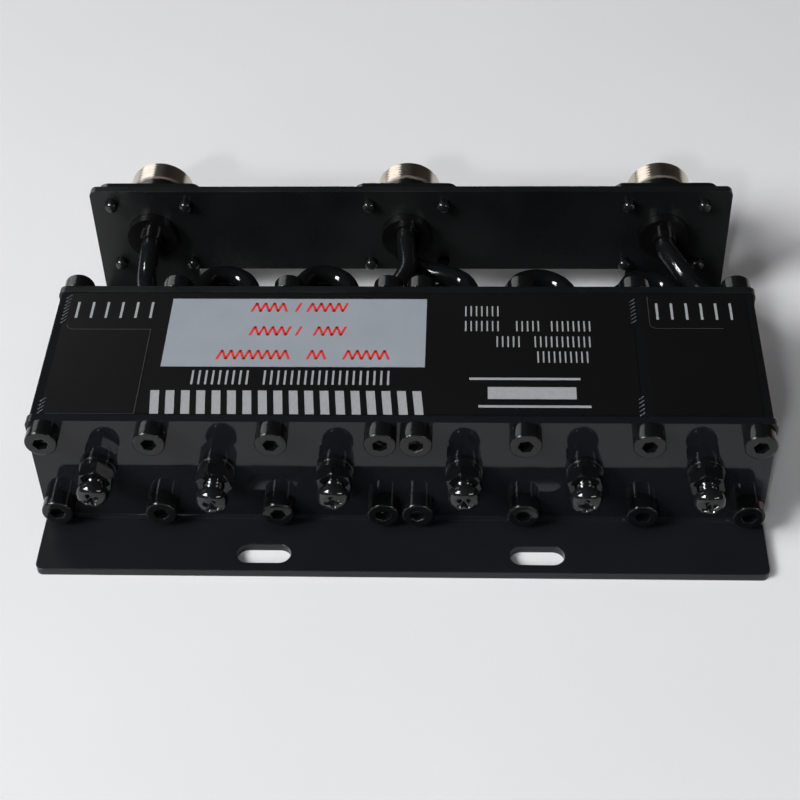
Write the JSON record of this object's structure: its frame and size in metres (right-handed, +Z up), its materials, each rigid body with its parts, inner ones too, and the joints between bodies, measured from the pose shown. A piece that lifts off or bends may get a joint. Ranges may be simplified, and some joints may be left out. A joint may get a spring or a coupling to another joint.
{
  "type": "cavity duplexer",
  "caption": "Black radio duplexer with tuning screws in front, a slotted mounting flange, a folded rear bracket and coaxial connectors.",
  "frame": {"origin": "on the standing surface, under the middle of the whole unit", "axes": "+X along the banks, +Y from the tuning screws to the connectors, +Z up"},
  "size_m": [0.16, 0.112, 0.0342],
  "materials": {
    "bank_enamel": "gloss black enamel",
    "plate_enamel": "gloss black enamel",
    "screw_enamel": "gloss black enamel over steel",
    "silvered_wire": "silver-plated wire, satin",
    "copper_wire": "bright copper",
    "nickel": "nickel plate",
    "white_insulation": "satin",
    "gilt_contact": "gold plate",
    "coated_cable": "black jacket under gloss enamel",
    "label_film": "satin black film with pale print",
    "sticker_film": "pale satin film"
  },
  "bodies": {
    "duplexer": {"cavity_bank_left": "bank_enamel", "cavity_bank_right": "bank_enamel", "front_plate": "plate_enamel", "rear_bracket": "plate_enamel", "front_cap_screws": "screw_enamel", "rear_cap_screws": "screw_enamel", "tuning_bushes": "screw_enamel", "spring_washers": "screw_enamel", "helix_1": "silvered_wire", "helix_2": "silvered_wire", "helix_3": "silvered_wire", "helix_4": "silvered_wire", "helix_5": "silvered_wire", "helix_6": "silvered_wire", "coupling_loop_1": "copper_wire", "coupling_loop_2": "copper_wire", "coupling_loop_3": "copper_wire", "coupling_loop_4": "copper_wire", "coupling_loop_5": "copper_wire", "coupling_loop_6": "copper_wire", "cable_ferrules": "screw_enamel", "connector_shell_left": "nickel", "connector_shell_middle": "nickel", "connector_shell_right": "nickel", "connector_insulator_left": "white_insulation", "connector_insulator_middle": "white_insulation", "connector_insulator_right": "white_insulation", "connector_contact_left": "gilt_contact", "connector_contact_middle": "gilt_contact", "connector_contact_right": "gilt_contact", "connector_screws": "screw_enamel", "link_cable_1_2": "coated_cable", "link_cable_2_3": "coated_cable", "link_cable_4_5": "coated_cable", "link_cable_5_6": "coated_cable", "lead_cable_left": "coated_cable", "lead_cable_middle_3": "coated_cable", "lead_cable_middle_4": "coated_cable", "lead_cable_right": "coated_cable", "label_left": "label_film", "label_middle": "label_film", "label_right": "label_film", "write_on_sticker": "sticker_film"},
    "tuner_1": {"tuning_screw_1": "screw_enamel"},
    "nut_1": {"lock_nut_1": "screw_enamel"},
    "tuner_2": {"tuning_screw_2": "screw_enamel"},
    "nut_2": {"lock_nut_2": "screw_enamel"},
    "tuner_3": {"tuning_screw_3": "screw_enamel"},
    "nut_3": {"lock_nut_3": "screw_enamel"},
    "tuner_4": {"tuning_screw_4": "screw_enamel"},
    "nut_4": {"lock_nut_4": "screw_enamel"},
    "tuner_5": {"tuning_screw_5": "screw_enamel"},
    "nut_5": {"lock_nut_5": "screw_enamel"},
    "tuner_6": {"tuning_screw_6": "screw_enamel"},
    "nut_6": {"lock_nut_6": "screw_enamel"}
  },
  "joints": [
    {"name": "tuner_1_slide", "type": "slide", "parent": "duplexer", "child": "tuner_1", "axis": [0, 1, 0], "range_m": [-0.006, 0.00205]},
    {"name": "nut_1_turn", "type": "hinge", "parent": "duplexer", "child": "nut_1", "pos_m": [-0.066, -0.04412, 0.018], "axis": [0, -1, 0], "range_deg": [0, 180]},
    {"name": "tuner_2_slide", "type": "slide", "parent": "duplexer", "child": "tuner_2", "axis": [0, 1, 0], "range_m": [-0.006, 0.00355]},
    {"name": "nut_2_turn", "type": "hinge", "parent": "duplexer", "child": "nut_2", "pos_m": [-0.04, -0.04412, 0.018], "axis": [0, -1, 0], "range_deg": [0, 180]},
    {"name": "tuner_3_slide", "type": "slide", "parent": "duplexer", "child": "tuner_3", "axis": [0, 1, 0], "range_m": [-0.006, 0.00235]},
    {"name": "nut_3_turn", "type": "hinge", "parent": "duplexer", "child": "nut_3", "pos_m": [-0.014, -0.04412, 0.018], "axis": [0, -1, 0], "range_deg": [0, 180]},
    {"name": "tuner_4_slide", "type": "slide", "parent": "duplexer", "child": "tuner_4", "axis": [0, 1, 0], "range_m": [-0.006, 0.00235]},
    {"name": "nut_4_turn", "type": "hinge", "parent": "duplexer", "child": "nut_4", "pos_m": [0.014, -0.04412, 0.018], "axis": [0, -1, 0], "range_deg": [0, 180]},
    {"name": "tuner_5_slide", "type": "slide", "parent": "duplexer", "child": "tuner_5", "axis": [0, 1, 0], "range_m": [-0.006, 0.00285]},
    {"name": "nut_5_turn", "type": "hinge", "parent": "duplexer", "child": "nut_5", "pos_m": [0.04, -0.04412, 0.018], "axis": [0, -1, 0], "range_deg": [0, 180]},
    {"name": "tuner_6_slide", "type": "slide", "parent": "duplexer", "child": "tuner_6", "axis": [0, 1, 0], "range_m": [-0.006, 0.00305]},
    {"name": "nut_6_turn", "type": "hinge", "parent": "duplexer", "child": "nut_6", "pos_m": [0.066, -0.04412, 0.018], "axis": [0, -1, 0], "range_deg": [0, 180]}
  ]
}
